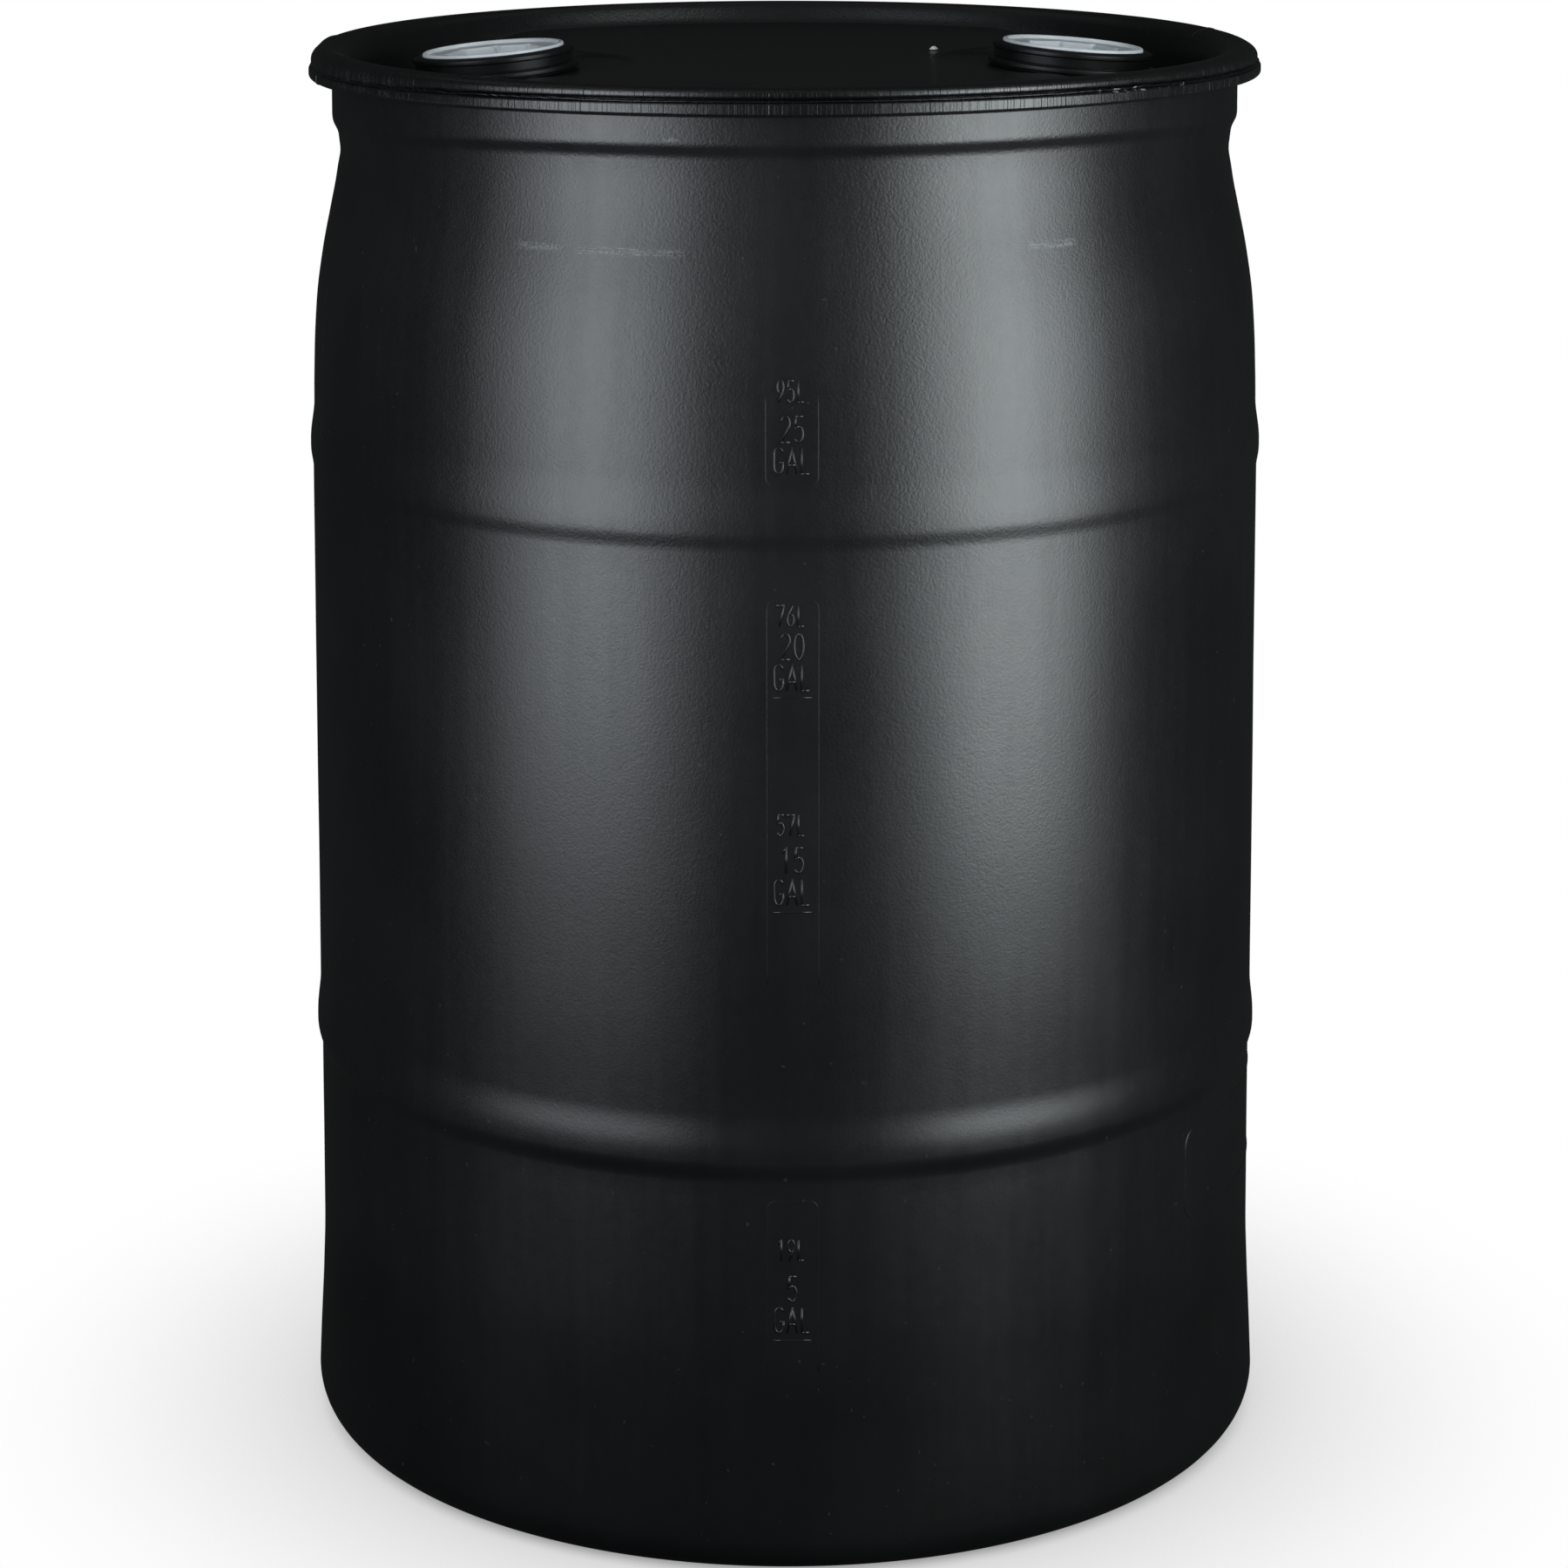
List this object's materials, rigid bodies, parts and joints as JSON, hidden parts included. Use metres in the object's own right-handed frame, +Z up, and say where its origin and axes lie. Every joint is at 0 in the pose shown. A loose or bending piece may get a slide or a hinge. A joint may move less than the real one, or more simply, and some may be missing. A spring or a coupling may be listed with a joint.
{
  "type": "closed-head plastic drum",
  "caption": "Black moulded plastic drum with a closed head, a lifting rim, rolling hoops and screwed bung plugs that turn and lift out.",
  "frame": {"origin": "centre of the base on the floor", "axes": "+Z up along the drum's axis; the bungs lie on the X axis, buttress-thread bung on -X and pipe-thread bung on +X; the volume scale faces -Y"},
  "size_m": [0.4946, 0.4946, 0.715],
  "materials": {
    "drum_shell": "satin black, fine orange-peel grain",
    "neck": "smooth semi-gloss black",
    "gasket": "matt pale elastomer",
    "plug": "smooth satin white"
  },
  "bodies": {
    "drum": {"drum_body": "drum_shell", "buttress_neck": "neck", "pipe_neck": "neck"},
    "buttress_seal": {"buttress_gasket": "gasket"},
    "buttress_closure": {"buttress_plug": "plug"},
    "pipe_seal": {"pipe_gasket": "gasket"},
    "pipe_closure": {"pipe_plug": "plug"}
  },
  "joints": [
    {"name": "buttress_lift", "type": "slide", "parent": "drum", "child": "buttress_seal", "axis": [-0.0819, 0, 0.9966], "range_m": [0, 0.0204]},
    {"name": "buttress_turn", "type": "hinge", "parent": "buttress_seal", "child": "buttress_closure", "pos_m": [-0.15042, 0, 0.71026], "axis": [-0.0819, 0, 0.9966], "range_deg": [0, 1440]},
    {"name": "pipe_lift", "type": "slide", "parent": "drum", "child": "pipe_seal", "axis": [0.0819, 0, 0.9966], "range_m": [0, 0.02]},
    {"name": "pipe_turn", "type": "hinge", "parent": "pipe_seal", "child": "pipe_closure", "pos_m": [0.15042, 0, 0.71026], "axis": [0.0819, 0, 0.9966], "range_deg": [0, 3240]}
  ],
  "couplings": [
    {"joint": "buttress_lift", "follows": "buttress_turn", "m_per_rad": 0.00080851},
    {"joint": "pipe_lift", "follows": "pipe_turn", "m_per_rad": 0.00035152}
  ]
}
